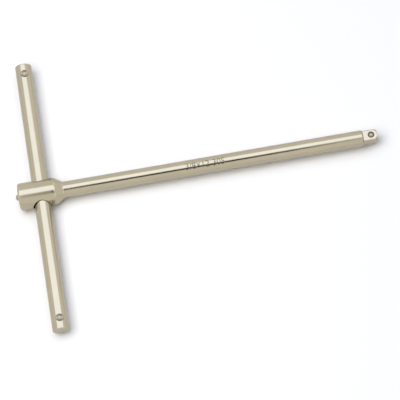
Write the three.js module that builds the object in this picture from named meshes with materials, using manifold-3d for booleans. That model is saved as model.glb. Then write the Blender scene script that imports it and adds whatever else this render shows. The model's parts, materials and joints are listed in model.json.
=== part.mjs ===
// A sliding T-handle for square-drive sockets, in millimetres.
//
// One forged piece carries the round head, the shaft and the male square drive. A loose bar slides
// and turns in the head's cross bore. Four sprung steel balls do the holding: one in the square
// keeps the socket on, one near each end of the bar keeps the bar in the head, and one inside the
// head presses on the bar so that it stays where it is put.
//
// Frame: the origin is the centre of the square's end face, +X runs along the shaft and out of the
// square, +Y runs along the bar, and +Z is up, square to both.

import * as THREE from "three";
import { mergeVertices } from "three/addons/utils/BufferGeometryUtils.js";
import Module from "manifold-3d";

// ---------- Driving dimensions ----------

const INCH = 25.4;
const overallLength = 12 * INCH; // from the square's end face to the head's end face
const gap = 0.3; // kept between pieces that touch on the real tool

const drive = {
  square: 0.375 * INCH, // across the flats
  length: 12,
  cornerCut: 0.5, // 45-degree chamfer along the four corners
  tipRadius: 5.3, // of the turned lead-in where it meets the end face
  leadAngle: THREE.MathUtils.degToRad(31), // of the lead-in, from the axis
};
const shaft = { radius: 6.85, endChamfer: 0.9 };
const head = {
  radius: 11.65,
  endRound: 2.6,
  boreToEnd: 19, // from the bar's axis to the head's end face
  boreToShoulder: 9.2, // from the bar's axis to where the head starts to narrow
  shoulderRound: 9,
  coneAngle: THREE.MathUtils.degToRad(34),
  filletRadius: 4,
};
const bar = {
  radius: 7,
  length: 241,
  endRound: 1,
  offset: -2.4, // how far the bar's middle stands from the head's middle, along +Y
  roll: THREE.MathUtils.degToRad(7.5), // of the end balls about the bar's axis, towards +X
  ballToEnd: 9.5,
};
const crossBore = { radius: bar.radius + 0.4, mouthCut: 1.1 };

// A sprung ball sits in a blind hole whose mouth is closed in to hold it. Depths are measured from
// the surface that the hole is drilled in.
const driveDetent = {
  ballRadius: 2,
  centreDepth: 1.25,
  dishRadius: 2.7,
  dishDepth: 0.4,
  lipRadius: 1.95,
  floorDepth: 7.8,
  wireRadius: 0.2,
  coilRadius: 1.5,
  turns: 5,
  toTip: 5.1, // from the ball to the square's end face
};
const barDetent = {
  ballRadius: 2.25,
  centreDepth: 1.4,
  dishRadius: 2.9,
  dishDepth: 0.45,
  lipRadius: 2.18,
  floorDepth: 11.4,
  wireRadius: 0.25,
  coilRadius: 1.65,
  turns: 7,
};
const headDetent = {
  ballRadius: 2.38,
  lipRadius: 2.2,
  lipLength: 0.6,
  wireRadius: 0.28,
  coilRadius: 1.7,
  turns: 3.5,
};
const plug = { radius: 2.65, seatDepth: 3.2, domeHeight: 1.9 };

// Fineness of the round shapes.
const turnedSides = 48;
const detentSides = 24;
const arcSteps = 5;
const ballSides = 20;
const ballRings = 14;
const wireSides = 6;
const wireStepsPerTurn = 12;

const cutMargin = 1; // how far a cutter runs past the surface that it cuts
const closedPitch = 2.4; // of a spring's closed end turns, in wire radii

// ---------- Places worked out from the dimensions ----------

const headEndX = -overallLength;
const barAxisX = headEndX + head.boreToEnd;
const shoulderX = barAxisX + head.boreToShoulder;
const shaftEndX = -drive.length;
const boreWallX = barAxisX - crossBore.radius;
const headBallX = barAxisX - bar.radius - gap - headDetent.ballRadius;
const headBallBore = headDetent.ballRadius + gap;
const plugBore = plug.radius + gap;
const plugInnerX = headEndX + plug.seatDepth;

// ---------- Solids ----------

const wasm = await Module();
wasm.setup();

// A geometry as a solid that can be cut and joined.
function solidOf(geometry) {
  const bare = geometry.clone();
  bare.deleteAttribute("normal");
  bare.deleteAttribute("uv");
  const merged = mergeVertices(bare, 1e-4);
  return new wasm.Manifold(
    new wasm.Mesh({
      numProp: 3,
      vertProperties: new Float32Array(merged.attributes.position.array),
      triVerts: new Uint32Array(merged.index.array),
    }),
  );
}

// A solid as a geometry with flat-shaded faces.
function geometryOf(solid) {
  const { vertProperties, triVerts } = solid.getMesh();
  const geometry = new THREE.BufferGeometry();
  geometry.setAttribute("position", new THREE.BufferAttribute(vertProperties, 3));
  geometry.setIndex(new THREE.BufferAttribute(triVerts, 1));
  const faceted = geometry.toNonIndexed();
  faceted.computeVertexNormals();
  return faceted;
}

// The base geometry with every cutter taken out of it.
function cut(base, cutters) {
  const left = cutters.reduce((solid, cutter) => solid.subtract(solidOf(cutter)), solidOf(base));
  return geometryOf(left);
}

// Points of an arc in a lathe's (radius, height) plane, both ends included.
function arc(centreRadius, centreHeight, radius, fromAngle, toAngle) {
  return Array.from({ length: arcSteps + 1 }, (_, i) => {
    const angle = THREE.MathUtils.lerp(fromAngle, toAngle, i / arcSteps);
    return new THREE.Vector2(
      centreRadius + radius * Math.cos(angle),
      centreHeight + radius * Math.sin(angle),
    );
  });
}

const point = (radius, height) => new THREE.Vector2(radius, height);

// Turns a lathe shape, made about +Y, so that its axis runs along +X.
const alongX = (geometry) => geometry.rotateZ(-Math.PI / 2);

// ---------- Forged and turned body ----------

function turnedBody() {
  const rightAngle = Math.PI / 2;
  const { radius, endRound, shoulderRound, coneAngle, filletRadius } = head;
  const shoulder = arc(radius - shoulderRound, shoulderX, shoulderRound, 0, coneAngle);
  const coneStart = shoulder[arcSteps];
  const filletStartRadius = shaft.radius + filletRadius * (1 - Math.cos(coneAngle));
  const coneLength = (coneStart.x - filletStartRadius) / Math.tan(coneAngle);
  const filletEndX = coneStart.y + coneLength + filletRadius * Math.sin(coneAngle);
  const fillet = arc(
    shaft.radius + filletRadius,
    filletEndX,
    filletRadius,
    Math.PI + coneAngle,
    Math.PI,
  );
  const profile = [
    point(0, headEndX),
    ...arc(radius - endRound, headEndX + endRound, endRound, -rightAngle, 0),
    ...shoulder,
    ...fillet,
    point(shaft.radius, shaftEndX - shaft.endChamfer),
    point(shaft.radius - shaft.endChamfer, shaftEndX),
    point(0, shaftEndX),
  ];
  return alongX(new THREE.LatheGeometry(profile, turnedSides));
}

// The square, cut out of a turned blank so that its tip has a conical lead-in.
function driveSquare() {
  const half = drive.square / 2;
  const inner = half - drive.cornerCut;
  const outline = new THREE.Shape([
    point(half, -inner),
    point(half, inner),
    point(inner, half),
    point(-inner, half),
    point(-half, inner),
    point(-half, -inner),
    point(-inner, -half),
    point(inner, -half),
  ]);
  const root = 1; // how far the square reaches into the shaft, so that the two join
  const prism = new THREE.ExtrudeGeometry(outline, { depth: drive.length + root, bevelEnabled: false });
  prism.rotateY(Math.PI / 2).translate(shaftEndX - root, 0, 0);
  const blankRadius = drive.square;
  const leadLength = (blankRadius - drive.tipRadius) / Math.tan(drive.leadAngle);
  const blank = new THREE.LatheGeometry(
    [
      point(0, shaftEndX - 2 * root),
      point(blankRadius, shaftEndX - 2 * root),
      point(blankRadius, -leadLength),
      point(drive.tipRadius, 0),
      point(0, 0),
    ],
    turnedSides,
  );
  return solidOf(prism).intersect(solidOf(alongX(blank)));
}

// The hole that a sprung ball sits in: a dish, a lip narrower than the ball, and a drilled pocket.
// It is made about +Y with its mouth at height 0.
function detentPocket({ ballRadius, dishRadius, dishDepth, lipRadius, floorDepth }) {
  const pocketRadius = ballRadius + gap;
  const flare = (dishRadius - lipRadius) / dishDepth;
  const underLip = dishDepth + pocketRadius - lipRadius;
  return new THREE.LatheGeometry(
    [
      point(0, -floorDepth),
      point(pocketRadius, -floorDepth),
      point(pocketRadius, -underLip),
      point(lipRadius, -dishDepth),
      point(dishRadius + flare * cutMargin, cutMargin),
      point(0, cutMargin),
    ],
    detentSides,
  );
}

// The bar's hole through the head, with both mouths cut back where they meet the head's side.
function barHole() {
  const reach = head.radius + cutMargin;
  const cutStart = head.radius - crossBore.mouthCut;
  const { radius } = crossBore;
  return new THREE.LatheGeometry(
    [
      point(0, -reach),
      point(radius + reach - cutStart, -reach),
      point(radius, -cutStart),
      point(radius, cutStart),
      point(radius + reach - cutStart, reach),
      point(0, reach),
    ],
    turnedSides,
  ).translate(barAxisX, 0, 0);
}

// The stepped hole along the shaft's axis, from the head's end face into the bar's hole.
function headBallHole() {
  const outside = headEndX - cutMargin;
  const lipX = boreWallX - headDetent.lipLength;
  return alongX(
    new THREE.LatheGeometry(
      [
        point(0, outside),
        point(plugBore, outside),
        point(plugBore, plugInnerX + gap),
        point(headBallBore, plugInnerX + gap),
        point(headBallBore, lipX),
        point(headDetent.lipRadius, lipX),
        point(headDetent.lipRadius, barAxisX),
        point(0, barAxisX),
      ],
      detentSides,
    ),
  );
}

function teeShaftGeometry() {
  const joined = solidOf(turnedBody()).add(driveSquare());
  const drivePocket = detentPocket(driveDetent).rotateX(Math.PI / 2);
  drivePocket.translate(-driveDetent.toTip, 0, drive.square / 2);
  return cut(geometryOf(joined), [barHole(), headBallHole(), drivePocket]);
}

// ---------- Bar ----------

// Everything that belongs to the bar is made about its own axis and then put into this place.
const placeOnBar = new THREE.Matrix4()
  .makeTranslation(barAxisX, bar.offset, 0)
  .multiply(new THREE.Matrix4().makeRotationY(bar.roll));
const barBallY = bar.length / 2 - bar.ballToEnd;

function slideBarGeometry() {
  const rightAngle = Math.PI / 2;
  const endCentre = bar.length / 2 - bar.endRound;
  const roundRadius = bar.radius - bar.endRound;
  const rod = new THREE.LatheGeometry(
    [
      point(0, -bar.length / 2),
      ...arc(roundRadius, -endCentre, bar.endRound, -rightAngle, 0),
      ...arc(roundRadius, endCentre, bar.endRound, 0, rightAngle),
      point(0, bar.length / 2),
    ],
    turnedSides,
  );
  const pockets = [barBallY, -barBallY].map((y) =>
    detentPocket(barDetent).rotateX(Math.PI / 2).translate(0, y, bar.radius),
  );
  return cut(rod, pockets);
}

// ---------- Balls, springs and plug ----------

const ballGeometry = (radius) => new THREE.SphereGeometry(radius, ballSides, ballRings);

// The line of a compression spring's wire about +Z, from height 0, with its end turns closed up.
class SpringLine extends THREE.Curve {
  constructor(coilRadius, length, turns, endPitch) {
    super();
    this.coilRadius = coilRadius;
    this.length = length;
    this.turns = turns;
    this.endPitch = endPitch;
  }

  getPoint(t, target = new THREE.Vector3()) {
    const turn = t * this.turns;
    const openPitch = (this.length - 2 * this.endPitch) / (this.turns - 2);
    const closedBelow = Math.min(turn, 1);
    const open = THREE.MathUtils.clamp(turn - 1, 0, this.turns - 2);
    const closedAbove = Math.max(turn - this.turns + 1, 0);
    const height = this.endPitch * (closedBelow + closedAbove) + openPitch * open;
    const angle = turn * 2 * Math.PI;
    return target.set(this.coilRadius * Math.cos(angle), this.coilRadius * Math.sin(angle), height);
  }
}

// A spring that fills the stretch from height 0 to the given length along +Z.
function springGeometry({ wireRadius, coilRadius, turns }, length) {
  const section = new THREE.Shape(
    Array.from({ length: wireSides }, (_, i) => {
      const angle = (i * 2 * Math.PI) / wireSides;
      return point(wireRadius * Math.cos(angle), wireRadius * Math.sin(angle));
    }),
  );
  const lineLength = length - 2 * wireRadius;
  const line = new SpringLine(coilRadius, lineLength, turns, closedPitch * wireRadius);
  const spring = new THREE.ExtrudeGeometry(section, {
    steps: Math.round(turns * wireStepsPerTurn),
    extrudePath: line,
  });
  return spring.translate(0, 0, wireRadius);
}

// A short pin pressed into the head's end, with a domed outer end.
function plugGeometry() {
  const { radius, domeHeight } = plug;
  const domeRadius = (radius * radius + domeHeight * domeHeight) / (2 * domeHeight);
  const domeEdge = Math.asin(radius / domeRadius);
  const down = -Math.PI / 2;
  const dome = arc(0, headEndX - domeHeight + domeRadius, domeRadius, down, down + domeEdge);
  dome[0].x = 0;
  return alongX(
    new THREE.LatheGeometry([...dome, point(radius, plugInnerX), point(0, plugInnerX)], detentSides),
  );
}

// How far below a ball's centre the end of its spring comes, with the ball seated in the end turn.
function springReach({ ballRadius, wireRadius, coilRadius }) {
  return Math.sqrt((ballRadius + gap + wireRadius) ** 2 - coilRadius ** 2) - wireRadius;
}

// The length of the spring between a blind pocket's floor and the ball above it.
const springLength = (detent) =>
  detent.floorDepth - detent.centreDepth - springReach(detent) - gap;

// ---------- Materials ----------

const platedSteel = new THREE.MeshStandardMaterial({
  color: 0xc6bca2,
  roughness: 0.28,
  metalness: 1,
});
const ballSteel = new THREE.MeshStandardMaterial({ color: 0xd2ccba, roughness: 0.18, metalness: 1 });
const springSteel = new THREE.MeshStandardMaterial({ color: 0x6f6d68, roughness: 0.4, metalness: 1 });
const plugSteel = new THREE.MeshStandardMaterial({ color: 0xbab097, roughness: 0.32, metalness: 1 });

// ---------- Assembly ----------

const group = new THREE.Group();

function addPiece(name, geometry, material, parent = group) {
  const mesh = new THREE.Mesh(geometry, material);
  mesh.name = name;
  parent.add(mesh);
  return mesh;
}

addPiece("tee_shaft", teeShaftGeometry(), platedSteel);

const driveTop = drive.square / 2;
const driveBall = addPiece("drive_ball", ballGeometry(driveDetent.ballRadius), ballSteel);
driveBall.position.set(-driveDetent.toTip, 0, driveTop - driveDetent.centreDepth);
const driveSpringGeometry = springGeometry(driveDetent, springLength(driveDetent));
const driveSpring = addPiece("drive_ball_spring", driveSpringGeometry, springSteel);
driveSpring.position.set(-driveDetent.toTip, 0, driveTop - driveDetent.floorDepth + gap);

const barGroup = new THREE.Group();
placeOnBar.decompose(barGroup.position, barGroup.quaternion, barGroup.scale);
group.add(barGroup);
addPiece("slide_bar", slideBarGeometry(), platedSteel, barGroup);
for (const [end, y] of [["far", barBallY], ["near", -barBallY]]) {
  const ball = addPiece(`bar_ball_${end}`, ballGeometry(barDetent.ballRadius), ballSteel, barGroup);
  ball.position.set(0, y, bar.radius - barDetent.centreDepth);
  const geometry = springGeometry(barDetent, springLength(barDetent));
  const spring = addPiece(`bar_ball_spring_${end}`, geometry, springSteel, barGroup);
  spring.position.set(0, y, bar.radius - barDetent.floorDepth + gap);
}

const headBall = addPiece("head_ball", ballGeometry(headDetent.ballRadius), ballSteel);
headBall.position.set(headBallX, 0, 0);
const headSpringStart = plugInnerX + gap;
const headSpringLength = headBallX - springReach(headDetent) - headSpringStart;
const headSpringGeometry = springGeometry(headDetent, headSpringLength);
const headSpring = addPiece("head_ball_spring", headSpringGeometry, springSteel);
headSpring.rotation.y = Math.PI / 2;
headSpring.position.set(headSpringStart, 0, 0);
addPiece("head_plug", plugGeometry(), plugSteel);

export default group;
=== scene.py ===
"""The looks of a sliding T-handle for square-drive sockets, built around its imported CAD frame.

Everything is in metres, in the CAD's frame: the origin is the centre of the square's end face, +X
runs out of the square, +Y along the bar and +Z up. Every piece is a closed mesh that stands for
the CAD node of the same shape, with the fine curves, edges and finishes that the CAD leaves out.
"""

import json
import math
from types import SimpleNamespace

import bmesh
import bpy
from mathutils import Matrix, Vector


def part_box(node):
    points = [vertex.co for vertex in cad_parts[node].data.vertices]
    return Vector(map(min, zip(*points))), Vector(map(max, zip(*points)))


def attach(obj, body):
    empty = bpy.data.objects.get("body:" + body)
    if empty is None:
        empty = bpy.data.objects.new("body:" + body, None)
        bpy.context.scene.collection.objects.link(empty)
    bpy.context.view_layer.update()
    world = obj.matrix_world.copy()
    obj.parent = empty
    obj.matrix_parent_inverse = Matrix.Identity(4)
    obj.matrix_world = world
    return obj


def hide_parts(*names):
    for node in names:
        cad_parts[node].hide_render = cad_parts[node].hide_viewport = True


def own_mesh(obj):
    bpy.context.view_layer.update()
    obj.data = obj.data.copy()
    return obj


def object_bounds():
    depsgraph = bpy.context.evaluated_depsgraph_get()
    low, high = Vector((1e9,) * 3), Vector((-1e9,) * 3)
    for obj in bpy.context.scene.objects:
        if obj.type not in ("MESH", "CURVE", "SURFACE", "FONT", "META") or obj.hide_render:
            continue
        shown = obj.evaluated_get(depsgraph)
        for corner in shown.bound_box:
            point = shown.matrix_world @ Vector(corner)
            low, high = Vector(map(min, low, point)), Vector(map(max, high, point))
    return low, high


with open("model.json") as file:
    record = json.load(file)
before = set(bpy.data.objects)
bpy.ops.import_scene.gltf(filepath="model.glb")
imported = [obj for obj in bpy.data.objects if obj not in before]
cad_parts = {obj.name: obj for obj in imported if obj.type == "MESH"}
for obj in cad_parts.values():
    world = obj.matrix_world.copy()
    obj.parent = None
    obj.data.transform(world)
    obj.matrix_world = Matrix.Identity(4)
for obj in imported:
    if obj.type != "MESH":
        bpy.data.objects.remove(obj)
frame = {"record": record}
cad_low, cad_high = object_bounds()

# ---------- Sizes ----------

MM = 0.001
QUARTER = math.pi / 2
FULL_TURN = 2 * math.pi

tee_low, tee_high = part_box("tee_shaft")
bar_low, bar_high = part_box("slide_bar")
plug_low, plug_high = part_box("head_plug")
mounts = {mount["name"]: Vector(mount["pos_m"]) for mount in frame["record"]["mounts"]}

HEAD_END_X = tee_low.x
HEAD_RADIUS = tee_high.z
HEAD_END_ROUND = 2.6 * MM
SHOULDER_X = HEAD_END_X + 28.2 * MM  # where the head starts to narrow
SHOULDER_ROUND = 9 * MM
CONE_ANGLE = math.radians(34)
NECK_ROUND = 4 * MM
HEAD_FACE_RADIUS = HEAD_RADIUS - HEAD_END_ROUND - MM  # where the end face's zipped middle begins
SHAFT_RADIUS = 6.85 * MM
SHAFT_CHAMFER = 0.8 * MM

SQUARE_HALF = mounts["drive_side_left"].y
SQUARE_ROOT_X = mounts["drive_shoulder"].x  # where the square meets the shaft
ROOT_BAND = 0.3 * MM  # how far along the square the painted shade in its corner with the shaft reaches
SHOULDER_EDGE = 0.3 * MM  # radius of the shaft's edge at its end chamfer
ROOT_EDGE = 0.15 * MM  # radius of the corners between the chamfer, the shoulder and the square
CORNER_CUT = 0.5 * MM  # along the square's four long corners
CORNER_SOFTNESS = 0.25 * MM
TIP_RADIUS = 4.9 * MM
LEAD_SLOPE = math.tan(math.radians(31))  # of the turned lead-in at the tip
TIP_ROUND = 0.5 * MM

BAR_RADIUS = (bar_high.x - bar_low.x) / 2
BAR_AXIS_X = (bar_high.x + bar_low.x) / 2
BAR_MIDDLE_Y = (bar_high.y + bar_low.y) / 2
BAR_HALF = (bar_high.y - bar_low.y) / 2
BAR_ROLL = math.radians(7.5)  # of the end balls about the bar's axis, towards +X
BAR_END_ROUND = 0.7 * MM
BORE_RADIUS = BAR_RADIUS + 0.8 * MM
BORE_X = BAR_AXIS_X - 0.4 * MM  # fitted to the dark crescent beside the bar in the photo
BORE_Z = -0.3 * MM  # fitted to the same
BORE_EDGE = 0.25 * MM  # radius of the rounded edge at each mouth

# A sprung ball sits in a blind hole whose mouth is staked in to hold it. Depths are measured from
# the surface that the hole is drilled in.
DRIVE_DETENT = SimpleNamespace(
    groove=2.75 * MM,
    groove_depth=0.6 * MM,
    crest=1.99 * MM,
    lip=1.87 * MM,
    lip_depth=0.16 * MM,
    floor=7.8 * MM,
    wire=0.2 * MM,
    coil=1.5 * MM,
    turns=5,
)
BAR_DETENT = SimpleNamespace(
    groove=3.25 * MM,
    groove_depth=0.5 * MM,
    crest=2.72 * MM,
    lip=2.17 * MM,
    lip_depth=0.4 * MM,
    floor=11.4 * MM,
    wire=0.25 * MM,
    coil=1.65 * MM,
    turns=7,
)
HEAD_DETENT = SimpleNamespace(lip=2.2 * MM, wire=0.28 * MM, coil=1.7 * MM, turns=3.5)
POCKET_CLEARANCE = 0.3 * MM  # between a ball and the wall of its hole
PLUG_CLEARANCE = 0.03 * MM
PLUG_OVERSIZE = 0.2 * MM  # of its radius, over the CAD's looser pin
PLUG_PROUD = 0.9 * MM  # of its dome, beyond the flatter one in the CAD

# Fineness of the meshes.
ROUND_STEPS = 8
TEE_SIDES = 256
BAR_SIDES = 192

# ---------- Closed surfaces, patch by patch ----------


def evenly(start, end, steps):
    return [start + (end - start) * i / steps for i in range(steps + 1)]


def rounded(corners, steps=ROUND_STEPS):
    """The points of a line through (a, b) or (a, b, radius) corners, with an arc at each radius."""
    points = []
    for i, corner in enumerate(corners):
        here = Vector(corner[:2])
        if len(corner) == 2:
            points.append(here)
            continue
        back = Vector(corners[i - 1][:2]) - here
        ahead = Vector(corners[i + 1][:2]) - here
        room = 0.49 * min(back.length, ahead.length)
        if room < 1e-3 * MM:
            points += [here] * (steps + 1)
            continue
        turn = math.pi - back.angle(ahead)
        reach = min(corner[2] * math.tan(turn / 2), room)
        radius = reach / math.tan(turn / 2)
        back.normalize()
        ahead.normalize()
        centre = here + (back + ahead).normalized() * math.hypot(radius, reach)
        first = here + back * reach - centre
        last = here + ahead * reach - centre
        for share in evenly(0, 1, steps):
            mixed = first * math.sin((1 - share) * turn) + last * math.sin(share * turn)
            points.append(centre + mixed / math.sin(turn))
    return points


def filled(points, spacing):
    """The same line with points added wherever two neighbours stand further apart than spacing."""
    line = [points[0]]
    for ahead in points[1:]:
        start = line[-1]
        steps = max(1, math.ceil((ahead - start).length / spacing))
        line += [start.lerp(ahead, i / steps) for i in range(1, steps + 1)]
    return line


def softer_min(a, b, softness):
    """The smaller of two lengths, with a smooth change from one to the other."""
    overlap = max(softness - abs(a - b), 0) / softness
    return min(a, b) - overlap * overlap * softness / 4


class Shell:
    """The points and faces of one closed surface, gathered patch by patch and welded at the end."""

    def __init__(self):
        self.points = []
        self.faces = []

    def sheet(self, rows, windows=()):
        """Covers rows of points with quads, except in windows of (row, row, column, column)."""
        start = len(self.points)
        width = len(rows[0])
        for row in rows:
            self.points += row
        for i in range(len(rows) - 1):
            for j in range(width - 1):
                if any(a <= i < b and c <= j < d for a, b, c, d in windows):
                    continue
                corner = start + i * width + j
                self.faces.append((corner, corner + 1, corner + 1 + width, corner + width))

    def loops(self, loops):
        """Joins closed loops of points, one after the other."""
        self.sheet([[*loop, loop[0]] for loop in loops])

    def zip(self, inner, outer, angle_of):
        """Joins two loops with different numbers of points by triangles, matching their angles."""
        whole_angle = lambda point: angle_of(point) % FULL_TURN
        rings = [sorted(ring, key=whole_angle) for ring in (inner, outer)]
        starts = [len(self.points), len(self.points) + len(rings[0])]
        self.points += rings[0] + rings[1]
        at = [0, 0]
        while at[0] < len(rings[0]) or at[1] < len(rings[1]):
            ahead = [
                whole_angle(ring[k % len(ring)]) + FULL_TURN * (k // len(ring))
                for ring, k in ((rings[0], at[0] + 1), (rings[1], at[1] + 1))
            ]
            here = [starts[k] + at[k] % len(rings[k]) for k in (0, 1)]
            inner_left = at[0] < len(rings[0])
            outer_left = at[1] < len(rings[1])
            step = 0 if not outer_left or (inner_left and ahead[0] < ahead[1]) else 1
            at[step] += 1
            self.faces.append((here[0], here[1], starts[step] + at[step] % len(rings[step])))


def rim_of(rows, columns):
    """The (row, column) values around a window, in order, each corner once."""
    near = [(row, columns[0]) for row in rows[:-1]]
    right = [(rows[-1], column) for column in columns[:-1]]
    far = [(row, columns[-1]) for row in rows[:0:-1]]
    left = [(rows[0], column) for column in columns[:0:-1]]
    return near + right + far + left


def fill_window(shell, surface, rim, angles, hole, steps):
    """Fills the stretch of a surface between a window's rim and the hole inside it."""
    loops = []
    for share in evenly(0, 1, steps):
        loop = []
        for (row, column), angle in zip(rim, angles):
            hole_row, hole_column = hole(angle)
            loop.append(
                surface(
                    row + (hole_row - row) * share,
                    column + (hole_column - column) * share,
                )
            )
        loops.append(loop)
    shell.loops(loops)


def hole_loops(profile, angles, place):
    """The loops of a round hole. Its profile is (radius, depth) and place(a, b, depth) a point."""
    return [
        [place(radius * math.cos(angle), radius * math.sin(angle), depth) for angle in angles]
        for radius, depth in profile
    ]


def detent_profile(detent, ball_radius):
    """The staking groove, the lip it leaves round the ball and the pocket, as (radius, depth)."""
    pocket = ball_radius + POCKET_CLEARANCE
    land = 0.5 * MM  # depth at which the lip ends
    outer_edge = 0.12 * MM
    inner_edge = 0.1 * MM
    lip_edge = 0.05 * MM
    floor_edge = 0.4 * MM
    return rounded(
        [
            (detent.groove + 0.15 * MM, 0),
            (detent.groove, 0, outer_edge),
            (detent.groove - 0.12 * MM, detent.groove_depth, outer_edge),
            (detent.crest + 0.16 * MM, detent.groove_depth, inner_edge),
            (detent.crest, 0.1 * MM, lip_edge),
            (detent.lip, detent.lip_depth, lip_edge),
            (detent.lip, land),
            (pocket, land + pocket - detent.lip, inner_edge),
            (pocket, detent.floor, floor_edge),
            (0, detent.floor),
        ],
        steps=5,
    )


# ---------- Pieces ----------

SHARP_ANGLE = math.radians(38)
WELD = 0.0008 * MM
WORN_CURVATURE = (0.7 / MM, 2.2 / MM)  # of an outside edge that handling has rubbed
CREVICE_CURVATURE = (0.5 / MM, 3 / MM)  # of an inside corner that gets painted shade


def ramp(value, low, high):
    return min(max((value - low) / (high - low), 0), 1)


def mark_edges(bm):
    """Writes how worn an outside edge is, and how much painted shade an inside corner gets, at each
    vertex.
    """
    worn = bm.verts.layers.float.new("worn")
    crevice = bm.verts.layers.float.new("crevice")
    for edge in bm.edges:
        if len(edge.link_faces) != 2:
            continue
        middle = (edge.verts[0].co + edge.verts[1].co) / 2
        reaches = [(face.calc_center_median() - middle).length for face in edge.link_faces]
        angle = edge.calc_face_angle_signed(0)
        outside = angle / max(sum(reaches), 0.01 * MM)
        inside = -angle / max(2 * min(reaches), 0.01 * MM)
        for vert in edge.verts:
            vert[worn] = max(vert[worn], ramp(outside, *WORN_CURVATURE))
            # painted shade in inside corners
            vert[crevice] = max(vert[crevice], ramp(inside, *CREVICE_CURVATURE))


def built(shell, name, place=Matrix.Identity(4)):
    """The shell as one smooth closed mesh object, at its place in the frame."""
    mesh = bpy.data.meshes.new(name)
    mesh.from_pydata([place @ point for point in shell.points], [], shell.faces)
    bm = bmesh.new()
    bm.from_mesh(mesh)
    bmesh.ops.remove_doubles(bm, verts=bm.verts, dist=WELD)
    bmesh.ops.dissolve_degenerate(bm, edges=bm.edges, dist=WELD)
    bmesh.ops.recalc_face_normals(bm, faces=bm.faces)
    open_edges = [edge for edge in bm.edges if not edge.is_manifold]
    if open_edges:
        print(f"{name}: {len(open_edges)} open edges, first at {open_edges[0].verts[0].co / MM}")
    mark_edges(bm)
    bm.to_mesh(mesh)
    bm.free()
    mesh.shade_smooth()
    mesh.set_sharp_from_angle(angle=SHARP_ANGLE)
    piece = bpy.data.objects.new(name, mesh)
    bpy.context.scene.collection.objects.link(piece)
    return piece


def stand_for(piece, node, body, material):
    """Gives the piece its material and makes it stand for a CAD node."""
    if not piece.data.materials:
        piece.data.materials.append(material)
    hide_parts(node)
    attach(piece, body)


# ---------- Head, shaft and square in one piece ----------

COLUMNS = evenly(-QUARTER, 3 * QUARTER, TEE_SIDES)  # angles about +X, from +Y towards +Z
MOUTH_REACH = 9.1 * MM  # of the patch around each mouth of the bore, along X
# The stretch of the bore's wall that holds the head ball's hole, in rows along it and angles round it.
HOLE_FIRST_ROW = 13
HOLE_LAST_ROW = 27
HOLE_START = math.radians(152)
HOLE_END = math.radians(208)


def turned(x, radius, angle):
    return Vector((x, radius * math.cos(angle), radius * math.sin(angle)))


def turned_rows(profile, columns=COLUMNS):
    return [[turned(x, radius, angle) for angle in columns] for x, radius in profile]


def mouth_edge_height(angle):
    """How far along the bar the middle of the mouth's rounded edge stands, at an angle about it."""
    across = BORE_Z + (BORE_RADIUS + BORE_EDGE) * math.sin(angle)
    return math.sqrt((HEAD_RADIUS - BORE_EDGE) ** 2 - across**2)


def bore_mouth_loops(angles):
    """The rounded edge where the bore comes out of the head's +Y side."""
    reach = BORE_RADIUS + BORE_EDGE
    loops = []
    for share in evenly(0, 1, ROUND_STEPS):
        loop = []
        for angle in angles:
            centre = Vector(
                (
                    BORE_X + reach * math.cos(angle),
                    mouth_edge_height(angle),
                    BORE_Z + reach * math.sin(angle),
                )
            )
            outward = Vector((0, centre.y, centre.z)).normalized()
            inward = Vector((-math.cos(angle), 0, -math.sin(angle)))
            loop.append(centre + BORE_EDGE * outward.slerp(inward, share))
        loops.append(loop)
    return loops


def add_bore(shell):
    """Both mouths of the bar's bore, and its wall with the head ball's hole in it."""
    rows = evenly(BAR_AXIS_X - MOUTH_REACH, BAR_AXIS_X + MOUTH_REACH, 64)
    rim = rim_of(rows, COLUMNS[: TEE_SIDES // 2 + 1])
    angles = [math.atan2(turn * HEAD_RADIUS, x - BORE_X) for x, turn in rim]
    reach = BORE_RADIUS + BORE_EDGE
    hole = lambda angle: (
        BORE_X + reach * math.cos(angle),
        math.asin((BORE_Z + reach * math.sin(angle)) / (HEAD_RADIUS - BORE_EDGE)),
    )
    mirror = Matrix.Diagonal((1, -1, 1))
    for side in (Matrix.Identity(3), mirror):
        surface = lambda x, turn: side @ turned(x, HEAD_RADIUS, turn)
        fill_window(shell, surface, rim, angles, hole, steps=14)
        shell.loops([[side @ point for point in loop] for loop in bore_mouth_loops(angles)])

    steady = [angle if angle >= angles[0] else angle + FULL_TURN for angle in angles]
    wall_columns = [*steady, steady[0] + FULL_TURN]
    wall = lambda share, angle: Vector(
        (
            BORE_X + BORE_RADIUS * math.cos(angle),
            share * mouth_edge_height(angle),
            BORE_Z + BORE_RADIUS * math.sin(angle),
        )
    )
    wall_rows = evenly(-1, 1, 40)
    first_column = next(i for i, angle in enumerate(wall_columns) if angle > HOLE_START)
    last_column = next(i for i, angle in enumerate(wall_columns) if angle > HOLE_END)
    window = (HOLE_FIRST_ROW, HOLE_LAST_ROW, first_column, last_column)
    shell.sheet([[wall(row, column) for column in wall_columns] for row in wall_rows], [window])
    hole_rows = wall_rows[HOLE_FIRST_ROW : HOLE_LAST_ROW + 1]
    hole_columns = wall_columns[first_column : last_column + 1]
    add_head_ball_hole(shell, wall, hole_rows, hole_columns)


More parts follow.
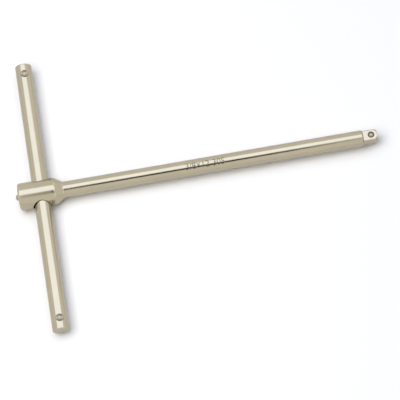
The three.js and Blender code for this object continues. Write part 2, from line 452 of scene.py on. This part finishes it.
def add_head_ball_hole(shell, wall, rows, columns):
    """The stepped hole along the shaft's axis, from the bore's wall out to the head's end face."""
    rim = rim_of(rows, columns)
    angles = [math.atan2(wall(*spot).z, wall(*spot).y) for spot in rim]
    edge = 0.2 * MM
    ball_bore = head_ball_radius + POCKET_CLEARANCE
    plug_bore = plug_radius + PLUG_CLEARANCE
    wall_x = BORE_X - BORE_RADIUS
    depth_to_lip = 0.35 * MM
    depth_to_plug = wall_x - plug_high.x - 0.1 * MM
    depth_to_end = wall_x - HEAD_END_X
    profile = rounded(
        [
            (HEAD_DETENT.lip + edge, 0),
            (HEAD_DETENT.lip, 0, edge),
            (HEAD_DETENT.lip, depth_to_lip),
            (ball_bore, depth_to_lip),
            (ball_bore, depth_to_plug),
            (plug_bore, depth_to_plug),
            (plug_bore, depth_to_end, edge),
            (plug_bore + 2 * edge, depth_to_end),
        ],
        steps=5,
    )

    def start(angle):
        turn = math.pi - math.asin((profile[0][0] * math.sin(angle) - BORE_Z) / BORE_RADIUS)
        return profile[0][0] * math.cos(angle) / mouth_edge_height(turn), turn

    def place(along_bar, up, depth):
        wall_rise = BORE_RADIUS - math.sqrt(BORE_RADIUS**2 - (up - BORE_Z) ** 2)
        fade = max(0, 1 - depth / depth_to_lip)
        return Vector((wall_x - depth + wall_rise * fade, along_bar, up))

    fill_window(shell, wall, rim, angles, start, steps=6)
    loops = hole_loops(profile, angles, place)
    shell.loops(loops)
    outline = [turned(HEAD_END_X, HEAD_FACE_RADIUS, angle) for angle in COLUMNS[:-1]]
    shell.zip(loops[-1], outline, lambda point: math.atan2(point.z, point.y))


def square_radius(angle):
    """The distance from the axis to the square's outline, with its corners cut and softened."""
    off_flat = abs((angle + QUARTER / 2) % QUARTER - QUARTER / 2)
    flat = SQUARE_HALF / math.cos(off_flat)
    corner_distance = (2 * SQUARE_HALF - CORNER_CUT) / math.sqrt(2)
    corner = corner_distance / math.cos(QUARTER / 2 - off_flat)
    return softer_min(flat, corner, CORNER_SOFTNESS)


def tip_radius(x, angle):
    """The same near the tip, where the turned lead-in cuts the corners off."""
    lead = TIP_RADIUS - x * LEAD_SLOPE
    return softer_min(square_radius(angle), lead, CORNER_SOFTNESS)


def root_line(angle):
    """From the shaft round its end chamfer and its shoulder to the root of the square."""
    square = square_radius(angle)
    face_radius = max(SHAFT_RADIUS - SHAFT_CHAMFER, square)
    face_x = SQUARE_ROOT_X - (face_radius - (SHAFT_RADIUS - SHAFT_CHAMFER))
    return rounded(
        [
            (SQUARE_ROOT_X - SHAFT_CHAMFER - SHOULDER_EDGE, SHAFT_RADIUS),
            (SQUARE_ROOT_X - SHAFT_CHAMFER, SHAFT_RADIUS, SHOULDER_EDGE),
            (face_x, face_radius, ROOT_EDGE),
            (face_x, square, ROOT_EDGE),
            (SQUARE_ROOT_X + ROOT_BAND, square),
        ],
        steps=5,
    )


def add_square(shell):
    """The shoulder, the square with the drive ball's pocket in its top, and the tip."""
    lines = [root_line(angle) for angle in COLUMNS]
    root_rows = [
        [turned(*line[i], angle) for line, angle in zip(lines, COLUMNS)] for i in range(len(lines[0]))
    ]
    ball_x = ball_centre("drive_ball").x
    window_half = 3.1 * MM
    before_steps = 8
    window_steps = 24
    before = evenly(SQUARE_ROOT_X + ROOT_BAND, ball_x - window_half, before_steps)
    window_rows = evenly(ball_x - window_half, ball_x + window_half, window_steps)
    after = evenly(ball_x + window_half, -TIP_ROUND, 10)
    stations = before + window_rows[1:] + after[1:]
    rows = [[turned(x, tip_radius(x, angle), angle) for angle in COLUMNS] for x in stations]
    for turn in evenly(0, QUARTER, ROUND_STEPS)[1:]:
        x = TIP_ROUND * (math.sin(turn) - 1)
        inset = TIP_ROUND * (1 - math.cos(turn))
        rows.append([turned(x, tip_radius(x, angle) - inset, angle) for angle in COLUMNS])
    for share in (0.9, 0.6, 0.3):  # of the ring before, towards the middle of the end face
        ring = zip(rows[-1], COLUMNS)
        rows.append([turned(0, point.yz.length * share, angle) for point, angle in ring])
    rows.append([Vector((0, 0, 0))] * len(COLUMNS))

    middle = TEE_SIDES // 2  # the column that faces +Z
    half_width = TEE_SIDES // 10
    first_row = len(root_rows) - 1 + before_steps
    window = (first_row, first_row + window_steps, middle - half_width, middle + half_width)
    shell.sheet(root_rows[:-1] + rows, [window])
    across = [SQUARE_HALF / math.tan(angle) for angle in COLUMNS[window[2] : window[3] + 1]]
    rim = rim_of(window_rows, across)
    angles = [math.atan2(y, x - ball_x) for x, y in rim]
    profile = detent_profile(DRIVE_DETENT, ball_radius_of("drive_ball"))
    start = lambda angle: (
        ball_x + profile[0][0] * math.cos(angle),
        profile[0][0] * math.sin(angle),
    )
    fill_window(shell, lambda x, y: Vector((x, y, SQUARE_HALF)), rim, angles, start, steps=4)
    place = lambda a, b, depth: Vector((ball_x + a, b, SQUARE_HALF - depth))
    shell.loops(hole_loops(profile, angles, place))


def ball_centre(node):
    low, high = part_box(node)
    return (low + high) / 2


def ball_radius_of(node):
    low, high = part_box(node)
    return (high.y - low.y) / 2


head_ball_radius = ball_radius_of("head_ball")
plug_radius = (plug_high.y - plug_low.y) / 2 + PLUG_OVERSIZE


def tee_shell():
    shell = Shell()
    head = [
        (HEAD_END_X, HEAD_FACE_RADIUS),
        (HEAD_END_X, HEAD_RADIUS, HEAD_END_ROUND),
        (BAR_AXIS_X - MOUTH_REACH, HEAD_RADIUS),
    ]
    shell.sheet(turned_rows(filled(rounded(head, steps=16), 1.5 * MM)))
    add_bore(shell)
    cone_start = SHOULDER_X + SHOULDER_ROUND * math.tan(CONE_ANGLE / 2)
    cone_end = cone_start + (HEAD_RADIUS - SHAFT_RADIUS) / math.tan(CONE_ANGLE)
    neck_and_shaft = [
        (BAR_AXIS_X + MOUTH_REACH, HEAD_RADIUS),
        (cone_start, HEAD_RADIUS, SHOULDER_ROUND),
        (cone_end, SHAFT_RADIUS, NECK_ROUND),
        (SQUARE_ROOT_X - SHAFT_CHAMFER - SHOULDER_EDGE, SHAFT_RADIUS),
    ]
    shell.sheet(turned_rows(filled(rounded(neck_and_shaft, steps=16), 3 * MM)))
    add_square(shell)
    return shell


# ---------- Bar ----------


def add_bar_pocket(shell, rows, columns, ball_y):
    """A ball's pocket in the bar, in the bar's own frame with the ball on its +Z side."""
    rim = rim_of(rows, columns)
    angles = [math.atan2(turn * BAR_RADIUS, y - ball_y) for y, turn in rim]
    profile = detent_profile(BAR_DETENT, ball_radius_of("bar_ball_far"))
    start = lambda angle: (
        ball_y + profile[0][0] * math.cos(angle),
        math.asin(profile[0][0] * math.sin(angle) / BAR_RADIUS),
    )

    def place(along, across, depth):
        drop = BAR_RADIUS - math.sqrt(BAR_RADIUS**2 - across**2)
        fade = max(0, 1 - depth / (3 * BAR_DETENT.groove_depth))
        return Vector((across, ball_y + along, BAR_RADIUS - depth - drop * fade))

    fill_window(shell, bar_surface, rim, angles, start, steps=4)
    shell.loops(hole_loops(profile, angles, place))


def bar_surface(y, turn, radius=BAR_RADIUS):
    return Vector((radius * math.sin(turn), y, radius * math.cos(turn)))


def bar_shell():
    """The bar about its own axis, with a pocket near each end on its +Z side."""
    shell = Shell()
    ball_y = (ball_centre("bar_ball_far").y - ball_centre("bar_ball_near").y) / 2
    half_window = 3.9 * MM
    window_steps = 28
    end = [
        (0, -BAR_HALF),
        (BAR_RADIUS - BAR_END_ROUND - MM, -BAR_HALF),
        (BAR_RADIUS, -BAR_HALF, BAR_END_ROUND),
        (BAR_RADIUS, -ball_y - half_window),
    ]
    lead = [(point[1], point[0]) for point in filled(rounded(end, steps=12), 1.5 * MM)]
    window_start = lead[-1][0]
    window_end = window_start + 2 * half_window
    window_rows = [(y, BAR_RADIUS) for y in evenly(window_start, window_end, window_steps)]
    middle = [(y, BAR_RADIUS) for y in evenly(window_rows[-1][0], 0, 30)]
    near = lead + window_rows[1:] + middle[1:]
    far = [(-y, radius) for y, radius in near[-2::-1]]
    columns = evenly(-math.pi, math.pi, BAR_SIDES)
    rows = [[bar_surface(y, turn, radius) for turn in columns] for y, radius in near + far]
    half_columns = BAR_SIDES // 10
    centre = BAR_SIDES // 2
    first = len(lead) - 1
    second = len(rows) - 1 - first - window_steps
    spans = [(first, first + window_steps), (second, second + window_steps)]
    windows = [(a, b, centre - half_columns, centre + half_columns) for a, b in spans]
    shell.sheet(rows, windows)
    for (a, b, c, d), y in zip(windows, (-ball_y, ball_y)):
        stations = [(near + far)[i][0] for i in range(a, b + 1)]
        add_bar_pocket(shell, stations, columns[c : d + 1], y)
    return shell


BAR_PLACE = Matrix.Translation((BAR_AXIS_X, BAR_MIDDLE_Y, 0)) @ Matrix.Rotation(BAR_ROLL, 4, "Y")
BALL_OUTWARD = (BAR_PLACE.to_3x3() @ Vector((0, 0, 1))).normalized()

# ---------- Balls, springs and plug ----------


def ball_shell(radius):
    """A ball about +Z."""
    shell = Shell()
    rows = []
    for polar in evenly(0, math.pi, 48):
        height = radius * math.cos(polar)
        reach = radius * math.sin(polar)
        rows.append([
            Vector((reach * math.cos(turn), reach * math.sin(turn), height))
            for turn in evenly(0, FULL_TURN, 72)
        ])
    shell.sheet(rows)
    return shell


def spring_shell(detent, length):
    """A compression spring about +Z from height 0, with its two end turns closed up."""
    shell = Shell()
    end_pitch = 2.2 * detent.wire
    open_pitch = (length - 2 * detent.wire - 2 * end_pitch) / (detent.turns - 2)
    rows = []
    steps = round(detent.turns * 40)
    for i in range(-4, steps + 5):
        turns = min(max(i / steps, 0), 1) * detent.turns
        closed = min(turns, 1) + max(turns - detent.turns + 1, 0)
        opened = min(max(turns - 1, 0), detent.turns - 2)
        height = detent.wire + end_pitch * closed + open_pitch * opened
        slope = (end_pitch if turns < 1 or turns > detent.turns - 1 else open_pitch) / FULL_TURN
        angle = turns * FULL_TURN
        outward = Vector((math.cos(angle), math.sin(angle), 0))
        ahead = Vector((-math.sin(angle) * detent.coil, math.cos(angle) * detent.coil, slope))
        ahead.normalize()
        over = max(-i, i - steps, 0)
        swell = math.cos(QUARTER * over / 4)
        push = math.sin(QUARTER * over / 4) * (1 if i > 0 else -1)
        centre = outward * detent.coil + Vector((0, 0, height)) + ahead * push * detent.wire * 0.4
        up = outward.cross(ahead)
        rows.append([
            centre + (outward * math.cos(turn) + up * math.sin(turn)) * detent.wire * swell
            for turn in evenly(0, FULL_TURN, 14)
        ])
    shell.sheet(rows)
    return shell


def spring_reach(detent, ball_radius):
    """How far below a ball's centre its spring ends, with the ball seated in the end turn."""
    seat = ball_radius + POCKET_CLEARANCE + detent.wire
    return math.sqrt(seat**2 - detent.coil**2) - detent.wire


def plug_shell():
    """A short pin pressed into the head's end, with a domed end that stands out of the face."""
    shell = Shell()
    dome_height = HEAD_END_X - plug_low.x + PLUG_PROUD
    dome_radius = (plug_radius**2 + dome_height**2) / (2 * dome_height)
    centre_x = HEAD_END_X - dome_height + dome_radius
    edge = math.asin(plug_radius / dome_radius)
    dome = [
        Vector((centre_x - dome_radius * math.cos(turn), dome_radius * math.sin(turn)))
        for turn in evenly(0, edge, 24)
    ]
    pin = rounded(
        [(dome[-1].x, plug_radius), (plug_high.x, plug_radius, 0.3 * MM), (plug_high.x, 0)], steps=5
    )
    columns = evenly(0, FULL_TURN, 96)
    shell.sheet(turned_rows([*dome, *filled(pin, 0.5 * MM)[1:]], columns))
    return shell


# ---------- Materials ----------


def add(tree, kind, sockets, **settings):
    """A new node with its settings, and with each input linked or set to a value."""
    made = tree.nodes.new("ShaderNode" + kind)
    for name, value in settings.items():
        setattr(made, name, value)
    for name, value in sockets.items():
        if isinstance(value, bpy.types.NodeSocket):
            tree.links.new(value, made.inputs[name])
        else:
            made.inputs[name].default_value = value
    return made


def noise(tree, scale, stretch=(1, 1, 1), detail=3):
    """Values from 0 to 1 that vary over the piece, finer along an axis that is stretched more."""
    place = add(tree, "TexCoord", {}).outputs["Object"]
    place = add(tree, "Mapping", {"Vector": place, "Scale": stretch}).outputs[0]
    return add(tree, "TexNoise", {"Vector": place, "Scale": scale, "Detail": detail}).outputs["Fac"]


def between(tree, value, low, high, out_low=0, out_high=1):
    """The value taken from one range to another, and held inside the second."""
    sockets = {
        "Value": value,
        "From Min": low,
        "From Max": high,
        "To Min": out_low,
        "To Max": out_high,
    }
    return add(tree, "MapRange", sockets).outputs[0]


def calculate(tree, operation, *values):
    return add(tree, "Math", dict(enumerate(values)), operation=operation).outputs[0]


def blend(tree, share, one, other):
    """One colour where the share is 0 and the other where it is 1."""
    first, second = (
        value if isinstance(value, bpy.types.NodeSocket) else (*value, 1) for value in (one, other)
    )
    return add(tree, "MixRGB", {"Fac": share, "Color1": first, "Color2": second}).outputs[0]


def edge_value(tree, name):
    return add(tree, "Attribute", {}, attribute_name=name).outputs["Fac"]


CLOUD_SCALE = 45  # of the slow change between a metal's two tints
PATCH_SCALE = 420  # of the breaks in its rubbed edges and in its painted shade
# Near black, painted into inside corners as painted shade
CORNER_SHADE = (0.035, 0.028, 0.018)


def metal(name, tints, roughness, grain, dents, bare):
    """A metal with cloudy tints, a grain, shallow dents, rubbed edges and painted shade in its
    corners.

    The grain is (scale, stretch, height in mm, roughness) and the dents are (scale, height in mm).
    """
    material = bpy.data.materials.new(name)
    material.use_nodes = True
    tree = material.node_tree
    shader = tree.nodes["Principled BSDF"]
    grain_scale, stretch, grain_height, grain_roughness = grain

    clouds = between(tree, noise(tree, CLOUD_SCALE, detail=4), 0.3, 0.7)
    lines = noise(tree, grain_scale, stretch, detail=2)
    patches = noise(tree, PATCH_SCALE, detail=3)
    worn = calculate(tree, "MULTIPLY", edge_value(tree, "worn"), between(tree, patches, 0.35, 0.6))
    # Painted shade: inside corners darken towards near black and turn rougher and less metallic, a
    # little unevenly
    corner_shade = between(tree, edge_value(tree, "crevice"), 0.05, 0.5)
    corner_shade = calculate(tree, "MULTIPLY", corner_shade, between(tree, patches, 0.2, 0.5, 0.75, 1))

    colour = blend(tree, clouds, *tints)
    colour = blend(tree, between(tree, lines, 0.62, 0.8, 0, 0.25), colour, bare)
    colour = blend(tree, calculate(tree, "MULTIPLY", worn, 0.8), colour, bare)
    tree.links.new(blend(tree, corner_shade, colour, CORNER_SHADE), shader.inputs["Base Color"])
    metallic = calculate(tree, "SUBTRACT", 1, calculate(tree, "MULTIPLY", corner_shade, 0.85))
    tree.links.new(metallic, shader.inputs["Metallic"])

    rough = between(tree, lines, 0.3, 0.8, roughness - grain_roughness, roughness + grain_roughness)
    rough = calculate(tree, "ADD", rough, between(tree, clouds, 0, 1, -0.015, 0.015))
    rough = calculate(tree, "ADD", rough, calculate(tree, "MULTIPLY", worn, 0.08))
    rough = calculate(tree, "ADD", rough, calculate(tree, "MULTIPLY", corner_shade, 0.5))
    tree.links.new(rough, shader.inputs["Roughness"])

    dent_scale, dent_height = dents
    height = calculate(tree, "MULTIPLY", noise(tree, dent_scale, detail=2), dent_height)
    height = calculate(tree, "ADD", height, calculate(tree, "MULTIPLY", lines, grain_height))
    height = calculate(tree, "ADD", height, calculate(tree, "MULTIPLY", worn, grain_height * 1.5))
    bump = add(tree, "Bump", {"Height": height, "Distance": MM, "Strength": 1})
    tree.links.new(bump.outputs[0], shader.inputs["Normal"])
    return material


def nickel_plate(name, stretch):
    """Bright nickel with a warm cast, over steel polished in one direction."""
    tints = ((0.545, 0.485, 0.352), (0.578, 0.512, 0.368))
    grain = (1, stretch, 0.0008, 0.035)
    return metal(name, tints, 0.14, grain, dents=(160, 0.004), bare=(0.66, 0.62, 0.53))


def bearing_steel():
    """The balls: hard and bright, slightly marked by use."""
    tints = ((0.49, 0.44, 0.335), (0.56, 0.5, 0.38))
    grain = (1, (900, 900, 2500), 0.0006, 0.06)
    return metal("bearing_steel", tints, 0.26, grain, dents=(900, 0.0012), bare=(0.62, 0.58, 0.48))


def spring_wire():
    """Drawn wire, dark from its oil temper."""
    tints = ((0.2, 0.18, 0.16), (0.29, 0.26, 0.23))
    grain = (1, (4000, 4000, 1500), 0.0008, 0.08)
    return metal("spring_wire", tints, 0.38, grain, dents=(2500, 0.001), bare=(0.42, 0.4, 0.37))


def turned_steel():
    """The plug: turned all round its axis, and duller than the plate beside it."""
    tints = ((0.46, 0.41, 0.3), (0.52, 0.465, 0.345))
    grain = (1, (3500, 120, 120), 0.0015, 0.06)
    return metal("turned_steel", tints, 0.22, grain, dents=(500, 0.002), bare=(0.62, 0.59, 0.52))


def etched_steel():
    """The floor of the size mark: matt, with oil and grime left in it."""
    tints = ((0.17, 0.148, 0.105), (0.26, 0.227, 0.165))
    grain = (1, (2500, 2500, 2500), 0.004, 0.1)
    return metal("etched", tints, 0.45, grain, dents=(1500, 0.006), bare=(0.5, 0.46, 0.38))


tee_plate = nickel_plate("tee_plate", (90, 2600, 2600))
bar_plate = nickel_plate("bar_plate", (2600, 90, 2600))
ball_steel = bearing_steel()
spring_steel = spring_wire()
plug_steel = turned_steel()
etched = etched_steel()

# ---------- Size mark ----------

MARK_TEXT = "3/8\u00d712-305"  # the drive and length in inches, and the length in millimetres
MARK_MIDDLE_X = -146 * MM
MARK_LENGTH = 33 * MM
MARK_HEIGHT = 5.6 * MM
MARK_DEPTH = 0.18 * MM
MARK_CLEARANCE = 0.4 * MM  # of the cutter above the shaft
MARK_TURN = math.radians(-9.5)  # of its middle, round the shaft from the top


def mark_cutter():
    """The numerals as solid letters, bent round the top of the shaft."""
    curve = bpy.data.curves.new("size_mark", "FONT")
    curve.body = MARK_TEXT
    curve.align_x = "CENTER"
    curve.extrude = 0.5
    writing = bpy.data.objects.new("size_mark", curve)
    bpy.context.scene.collection.objects.link(writing)
    bpy.context.view_layer.update()
    evaluated = writing.evaluated_get(bpy.context.evaluated_depsgraph_get())
    mesh = bpy.data.meshes.new_from_object(evaluated)
    bpy.data.objects.remove(writing)
    bm = bmesh.new()
    bm.from_mesh(mesh)
    bmesh.ops.remove_doubles(bm, verts=bm.verts, dist=1e-5)
    xs = [vert.co.x for vert in bm.verts]
    ys = [vert.co.y for vert in bm.verts]
    for share in evenly(0, 1, 8)[1:-1]:
        level = min(ys) + share * (max(ys) - min(ys))
        geometry = bm.verts[:] + bm.edges[:] + bm.faces[:]
        bmesh.ops.bisect_plane(bm, geom=geometry, plane_co=(0, level, 0), plane_no=(0, 1, 0))
    bmesh.ops.triangulate(bm, faces=bm.faces)
    middle = ((min(xs) + max(xs)) / 2, (min(ys) + max(ys)) / 2)
    scale = (MARK_LENGTH / (max(xs) - min(xs)), MARK_HEIGHT / (max(ys) - min(ys)))
    for vert in bm.verts:
        turn = MARK_TURN + (vert.co.y - middle[1]) * scale[1] / SHAFT_RADIUS
        radius = SHAFT_RADIUS + (MARK_CLEARANCE if vert.co.z > 0 else -MARK_DEPTH)
        x = MARK_MIDDLE_X + (vert.co.x - middle[0]) * scale[0]
        vert.co = (x, radius * math.sin(turn), radius * math.cos(turn))
    bmesh.ops.recalc_face_normals(bm, faces=bm.faces)
    bm.to_mesh(mesh)
    bm.free()
    mesh.materials.clear()
    mesh.materials.append(etched)
    cutter = bpy.data.objects.new("mark_cutter", mesh)
    bpy.context.scene.collection.objects.link(cutter)
    return cutter


def engrave(piece):
    """Cuts the size mark into a piece, with the etched finish on the new faces."""
    cutter = mark_cutter()
    cut = piece.modifiers.new("mark", "BOOLEAN")
    cut.operation = "DIFFERENCE"
    cut.solver = "EXACT"
    cut.object = cutter
    cut.material_mode = "TRANSFER"
    bpy.context.view_layer.update()
    evaluated = piece.evaluated_get(bpy.context.evaluated_depsgraph_get())
    mesh = bpy.data.meshes.new_from_object(evaluated)
    piece.modifiers.clear()
    piece.data = mesh
    bpy.data.objects.remove(cutter)
    mesh.set_sharp_from_angle(angle=SHARP_ANGLE)


# ---------- Assembly ----------

tee = built(tee_shell(), "tee_shaft_fine")
tee.data.materials.append(tee_plate)
engrave(tee)
stand_for(tee, "tee_shaft", "tee", tee_plate)
bar = built(bar_shell(), "slide_bar_fine", BAR_PLACE)
stand_for(bar, "slide_bar", "bar", bar_plate)
plug = built(plug_shell(), "head_plug_fine")
stand_for(plug, "head_plug", "tee", plug_steel)


def facing(centre, outward):
    """Where a piece made about +Z goes, to stand at a centre and face outward."""
    return Matrix.Translation(centre) @ outward.to_track_quat("Z", "Y").to_matrix().to_4x4()


UP = Vector((0, 0, 1))
detents = [
    ("drive_ball", "drive_ball_spring", "drive_ball_press", DRIVE_DETENT, UP, "tee"),
    ("bar_ball_far", "bar_ball_spring_far", "bar_ball_far_press", BAR_DETENT, BALL_OUTWARD, "bar"),
    ("bar_ball_near", "bar_ball_spring_near", "bar_ball_near_press", BAR_DETENT, BALL_OUTWARD, "bar"),
    ("head_ball", "head_ball_spring", "head_ball_press", HEAD_DETENT, Vector((1, 0, 0)), "tee"),
]
for ball_node, spring_node, joint_name, detent, outward, holder in detents:
    centre = ball_centre(ball_node)
    radius = ball_radius_of(ball_node)
    ball = built(ball_shell(radius), f"{ball_node}_fine", facing(centre, outward))
    stand_for(ball, ball_node, ball_node, ball_steel)
    spring_top = centre - outward * spring_reach(detent, radius)
    if ball_node == "head_ball":
        spring_foot = Vector((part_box(spring_node)[0].x, 0, 0))
    else:
        surface = SQUARE_HALF if ball_node == "drive_ball" else BAR_RADIUS
        axis_x = centre.x if holder == "tee" else BAR_AXIS_X
        axis_point = Vector((axis_x, centre.y, 0))
        spring_foot = axis_point + outward * (surface - detent.floor + POCKET_CLEARANCE)
    length = (spring_top - spring_foot).length
    spring = built(spring_shell(detent, length), f"{spring_node}_fine", facing(spring_foot, outward))
    stand_for(spring, spring_node, holder, spring_steel)
    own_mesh(spring)
    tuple(outward)

# ---------- Studio ----------


def rectangle(width, height):
    x = width / 2
    y = height / 2
    return [(-x, -y), (x, -y), (x, y), (-x, y)]


def card(name, centre, toward, outline, radiance, colour=(1, 1, 1)):
    """A flat lit or dark panel, which the camera doesn't see."""
    mesh = bpy.data.meshes.new(name)
    mesh.from_pydata([(x, y, 0) for x, y in outline], [], [tuple(range(len(outline)))])
    panel = bpy.data.objects.new(name, mesh)
    bpy.context.scene.collection.objects.link(panel)
    ahead = (Vector(toward) - Vector(centre)).normalized()
    side = Vector((1, 0, 0)) if abs(ahead.x) < 0.9 else Vector((0, 1, 0))
    side = (side - ahead * side.dot(ahead)).normalized()
    up = ahead.cross(side)
    panel.matrix_world = Matrix.Translation(centre) @ Matrix((side, up, ahead)).transposed().to_4x4()
    material = bpy.data.materials.new(name)
    material.use_nodes = True
    tree = material.node_tree
    tree.nodes.clear()
    emission = tree.nodes.new("ShaderNodeEmission")
    emission.inputs["Color"].default_value = (*colour, 1)
    emission.inputs["Strength"].default_value = radiance
    output = tree.nodes.new("ShaderNodeOutputMaterial")
    tree.links.new(emission.outputs[0], output.inputs[0])
    mesh.materials.append(material)
    panel.visible_camera = False
    return panel


middle_x = (cad_low.x + cad_high.x) / 2
aim = Vector((middle_x - 1.95 * MM, -29.9 * MM, 0))
VIEW_ELEVATION = math.radians(68.83)
VIEW_AZIMUTH = math.radians(2.14)
VIEW_ROLL = math.radians(-11.79)
VIEW_DISTANCE = 2.216
FOCAL_LENGTH = 238.86  # in millimetres, on a 36 mm sensor

back = Vector(
    (
        math.sin(VIEW_AZIMUTH) * math.cos(VIEW_ELEVATION),
        -math.cos(VIEW_AZIMUTH) * math.cos(VIEW_ELEVATION),
        math.sin(VIEW_ELEVATION),
    )
)
level = UP.cross(back).normalized()
upright = back.cross(level)
right = math.cos(VIEW_ROLL) * level + math.sin(VIEW_ROLL) * upright
camera_up = math.cos(VIEW_ROLL) * upright - math.sin(VIEW_ROLL) * level
camera_data = bpy.data.cameras.new("camera")
camera_data.lens = FOCAL_LENGTH
camera_data.sensor_width = 36
camera_data.clip_start = 0.1
camera_data.clip_end = 100
camera = bpy.data.objects.new("camera", camera_data)
camera_turn = Matrix((right, camera_up, back)).transposed().to_4x4()
camera.matrix_world = Matrix.Translation(aim + back * VIEW_DISTANCE) @ camera_turn
bpy.context.scene.collection.objects.link(camera)
bpy.context.scene.camera = camera

LAMP_HEIGHT = 2.2
LAMP_COLOUR = (1.52, 1.63, 1.93)
# Outlines of the two lamps overhead, in degrees along X and Y from straight above the tool. They
# were shaped by trial until the highlights fell where the photo shows them.
SOFTBOX = [
    (-41.5, -5.5),
    (42, -5.5),
    (42, 25),
    (36, 28),
    (26, 29.5),
    (16.5, 32),
    (16.5, 35.5),
    (-33, 35.5),
    (-41.5, 21),
]
SIDE_LAMP = [(-26, -16), (-13, -16), (-13, -5.5), (-26, -5.5)]

# Lamps to the sides that only the metal shows. They light no diffuse surface.
EDGE_LAMP_AZIMUTHS = (58, 122, 238, 302)
EDGE_LAMP_ELEVATION = math.radians(31)
EDGE_LAMP_REACH = 1.6  # level distance from the origin
EDGE_LAMP_RADIANCE = 0.75

# A dark card behind the camera, which draws the dark line along the shaft's highlight.
DARK_CARD_BEHIND = 0.05
DARK_CARD_SHIFT = Vector((-0.076, 0, 0))
DARK_CARD_RADIANCE = 0.02

# A key lamp that lights the floor and shows in no reflection.
KEY_REACH = 1.6
KEY_RADIANCE = 4.5
KEY_COLOUR = (1.03, 1, 0.95)

SKY = 0.86  # as the camera and the metal see it
SKY_ON_DIFFUSE = 0.25  # as it lights matt surfaces
FLOOR_LIGHTNESS = 0.88
MIRRORED_LIGHTNESS = 0.66  # of the floor that the metal shows
MIRRORED_LIFT = 0.02 * MM  # keeps the two floors apart


def overhead(name, outline):
    """A lamp that hangs level over the tool."""
    reach = lambda angle: math.tan(math.radians(angle)) * LAMP_HEIGHT
    # The panel faces down, so its own Y runs against the world's.
    points = [(reach(x), -reach(y)) for x, y in outline]
    foot = Vector((middle_x, 0, 0))
    return card(name, foot + UP * LAMP_HEIGHT, foot, points, 1.0, LAMP_COLOUR)


overhead("softbox", SOFTBOX)
overhead("side_lamp", SIDE_LAMP)
for azimuth in EDGE_LAMP_AZIMUTHS:
    turn = math.radians(azimuth)
    spot = Vector((math.cos(turn), math.sin(turn), math.tan(EDGE_LAMP_ELEVATION))) * EDGE_LAMP_REACH
    target = Vector((middle_x, 0, 0))
    outline = rectangle(0.5, 0.9)
    lamp = card(f"edge_lamp_{azimuth}", spot, target, outline, EDGE_LAMP_RADIANCE, LAMP_COLOUR)
    lamp.visible_diffuse = False
    lamp.visible_shadow = False
dark_card = card(
    "dark_card",
    aim + back * (VIEW_DISTANCE + DARK_CARD_BEHIND) + DARK_CARD_SHIFT,
    aim,
    rectangle(0.458, 0.78),
    DARK_CARD_RADIANCE,
)
dark_card.visible_diffuse = False
dark_card.visible_shadow = False
key_direction = (UP - 0.27 * right - 0.2 * camera_up).normalized()
key_spot = aim + key_direction * KEY_REACH
key = card("key", key_spot, aim, rectangle(1.2, 1.2), KEY_RADIANCE, KEY_COLOUR)
key.visible_glossy = False
key.visible_shadow = False

world = bpy.data.worlds.new("world")
bpy.context.scene.world = world
world.use_nodes = True
world_tree = world.node_tree
background = world_tree.nodes["Background"]
background.inputs["Color"].default_value = (1, 1, 1, 1)
ray = world_tree.nodes.new("ShaderNodeLightPath")
strength = world_tree.nodes.new("ShaderNodeMapRange")
world_tree.links.new(ray.outputs["Is Diffuse Ray"], strength.inputs["Value"])
strength.inputs["To Min"].default_value = SKY
strength.inputs["To Max"].default_value = SKY_ON_DIFFUSE
world_tree.links.new(strength.outputs["Result"], background.inputs["Strength"])
bpy.context.scene.view_settings.view_transform = "Standard"


def sheet(name, height, lightness):
    """A wide level sheet of matt paper."""
    mesh = bpy.data.meshes.new(name)
    half = 12  # metres
    corners = [(-half, -half, 0), (half, -half, 0), (half, half, 0), (-half, half, 0)]
    mesh.from_pydata(corners, [], [(0, 1, 2, 3)])
    paper = bpy.data.objects.new(name, mesh)
    paper.location = (0, 0, height)
    bpy.context.scene.collection.objects.link(paper)
    material = bpy.data.materials.new(name)
    material.use_nodes = True
    shader = material.node_tree.nodes["Principled BSDF"]
    shader.inputs["Base Color"].default_value = (lightness, lightness, lightness, 1)
    shader.inputs["Roughness"].default_value = 0.9
    shader.inputs["Specular IOR Level"].default_value = 0
    mesh.materials.append(material)
    return paper


floor = sheet("floor", cad_low.z, FLOOR_LIGHTNESS)
floor.visible_glossy = False
mirrored_floor = sheet("mirrored_floor", cad_low.z + MIRRORED_LIFT, MIRRORED_LIGHTNESS)
mirrored_floor.visible_camera = False
mirrored_floor.visible_diffuse = False
mirrored_floor.visible_shadow = False
